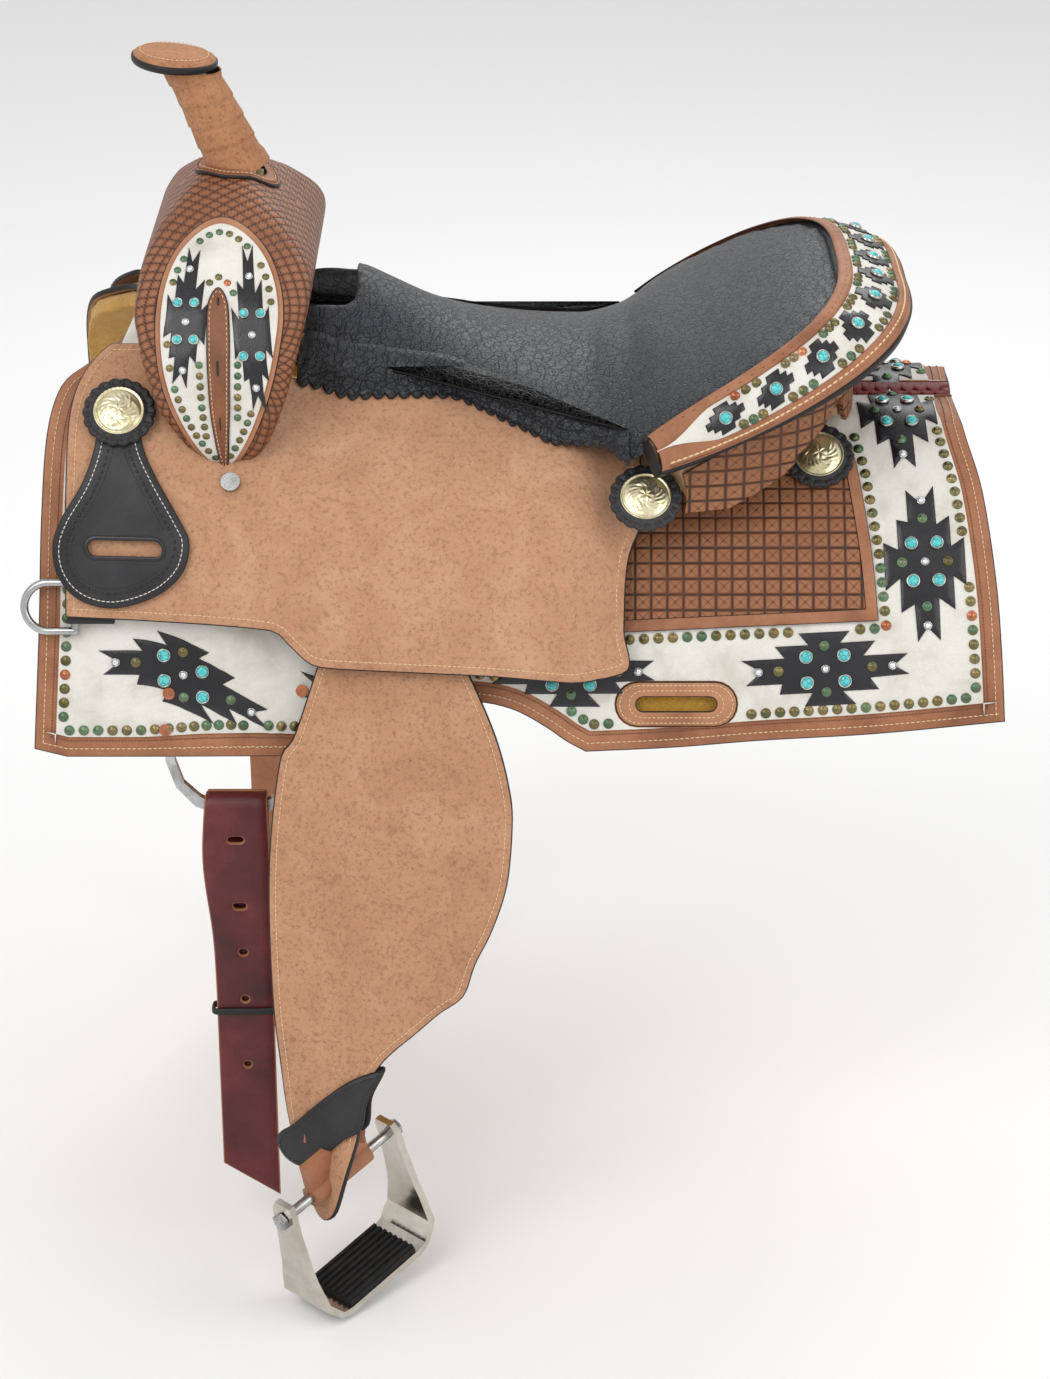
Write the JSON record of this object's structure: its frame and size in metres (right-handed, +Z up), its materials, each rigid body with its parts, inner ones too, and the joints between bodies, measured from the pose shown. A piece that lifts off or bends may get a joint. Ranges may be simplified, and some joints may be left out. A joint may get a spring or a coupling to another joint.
{
  "type": "western saddle",
  "caption": "Barrel-style western saddle with padded black seat, suede fenders, white overlays and aluminium stirrups.",
  "frame": {"origin": "centre plane, on the axis of the rack rail that carries the saddle, 26 mm below the fleece at the spine", "axes": "+X to the rear, -Y to the rider's left, +Z up"},
  "size_m": [0.726, 0.6568, 0.9103],
  "materials": {
    "suede": "matte",
    "tan_leather": "satin",
    "tooled_brown": "satin",
    "white_leather": "satin",
    "black_leather": "satin",
    "black_seat": "satin",
    "burgundy_leather": "satin",
    "fleece": "matte",
    "tree_wood": "matte",
    "steel": "satin",
    "stirrup_metal": "polished",
    "concho_metal": "polished",
    "copper": "polished",
    "rubber": "matte"
  },
  "bodies": {
    "saddle": {"bar_near": "tree_wood", "bar_far": "tree_wood", "fork": "tree_wood", "cantle_board": "tree_wood", "horn_core": "steel", "horn_wrap": "suede", "horn_cap": "suede", "horn_binding": "black_leather", "horn_collar": "tan_leather", "ground_seat": "tan_leather", "swell_cover": "tooled_brown", "swell_overlay_near": "white_leather", "swell_overlay_far": "white_leather", "gullet_cover": "tan_leather", "seat": "black_seat", "cantle_roll": "white_leather", "cantle_back": "tan_leather", "skirt_near": "tan_leather", "skirt_far": "tan_leather", "fleece_near": "fleece", "fleece_far": "fleece", "overlay_near": "white_leather", "overlay_far": "white_leather", "panel_near": "tooled_brown", "panel_far": "tooled_brown", "jockey_near": "suede", "jockey_far": "suede", "spine_lacing": "burgundy_leather", "slot_lining_near": "tan_leather", "slot_lining_far": "tan_leather", "breast_tabs": "black_leather", "rosettes": "black_leather", "conchos": "concho_metal", "screws": "steel", "rivets": "copper", "dee_hanger_near": "tan_leather", "dee_hanger_far": "tan_leather"},
    "fender_near_body": {"fender_near": "suede", "stirrup_leather_near": "tan_leather", "hobble_strap_near": "black_leather", "hobble_buckle_near": "steel"},
    "stirrup_near_body": {"stirrup_near": "stirrup_metal", "tread_near": "rubber", "stirrup_bolt_near": "steel"},
    "dee_near_body": {"rigging_dee_near": "steel"},
    "breast_dee_near_body": {"breast_dee_near": "steel"},
    "keeper_near_body": {"keeper_near": "black_leather"},
    "fender_far_body": {"fender_far": "suede", "stirrup_leather_far": "tan_leather", "hobble_strap_far": "black_leather", "hobble_buckle_far": "steel"},
    "stirrup_far_body": {"stirrup_far": "stirrup_metal", "tread_far": "rubber", "stirrup_bolt_far": "steel"},
    "dee_far_body": {"rigging_dee_far": "steel"},
    "breast_dee_far_body": {"breast_dee_far": "steel"},
    "keeper_far_body": {"keeper_far": "black_leather"},
    "latigo_body": {"latigo": "burgundy_leather", "latigo_tie": "black_leather"},
    "off_billet_body": {"off_billet": "burgundy_leather"}
  },
  "joints": [
    {"name": "fender_near_swing", "type": "hinge", "parent": "saddle", "child": "fender_near_body", "pos_m": [-0.103, -0.18705, -0.04562], "axis": [0, -0.9781, 0.2079], "range_deg": [-22, 22]},
    {"name": "stirrup_near_swing", "type": "hinge", "parent": "fender_near_body", "child": "stirrup_near_body", "pos_m": [-0.142, -0.279, -0.483], "axis": [0.674, 0.698, 0.2419], "range_deg": [-40, 40]},
    {"name": "rigging_dee_near_swing", "type": "hinge", "parent": "saddle", "child": "dee_near_body", "pos_m": [-0.216, -0.184, -0.152], "axis": [-1, 0, 0], "range_deg": [-12, 12]},
    {"name": "latigo_swing", "type": "hinge", "parent": "dee_near_body", "child": "latigo_body", "pos_m": [-0.216, -0.184, -0.2165], "axis": [-1, 0, 0], "range_deg": [-10, 6]},
    {"name": "breast_dee_near_swing", "type": "hinge", "parent": "saddle", "child": "breast_dee_near_body", "pos_m": [-0.33, -0.187, -0.052], "axis": [0, 0.2504, 0.9681], "range_deg": [-4, 10]},
    {"name": "keeper_near_pivot", "type": "hinge", "parent": "saddle", "child": "keeper_near_body", "pos_m": [-0.296, -0.1305, 0.0742], "axis": [0, -0.7314, 0.682], "range_deg": [-3, 3]},
    {"name": "fender_far_swing", "type": "hinge", "parent": "saddle", "child": "fender_far_body", "pos_m": [-0.103, 0.18705, -0.04562], "axis": [0, 0.9781, 0.2079], "range_deg": [-22, 22]},
    {"name": "stirrup_far_swing", "type": "hinge", "parent": "fender_far_body", "child": "stirrup_far_body", "pos_m": [-0.142, 0.279, -0.483], "axis": [0.674, -0.698, 0.2419], "range_deg": [-40, 40]},
    {"name": "rigging_dee_far_swing", "type": "hinge", "parent": "saddle", "child": "dee_far_body", "pos_m": [-0.216, 0.184, -0.152], "axis": [1, 0, 0], "range_deg": [-12, 12]},
    {"name": "off_billet_swing", "type": "hinge", "parent": "dee_far_body", "child": "off_billet_body", "pos_m": [-0.216, 0.184, -0.2165], "axis": [1, 0, 0], "range_deg": [-10, 6]},
    {"name": "breast_dee_far_swing", "type": "hinge", "parent": "saddle", "child": "breast_dee_far_body", "pos_m": [-0.33, 0.187, -0.052], "axis": [0, -0.2504, 0.9681], "range_deg": [-10, 4]},
    {"name": "keeper_far_pivot", "type": "hinge", "parent": "saddle", "child": "keeper_far_body", "pos_m": [-0.296, 0.1305, 0.0742], "axis": [0, 0.7314, 0.682], "range_deg": [-3, 3]}
  ]
}
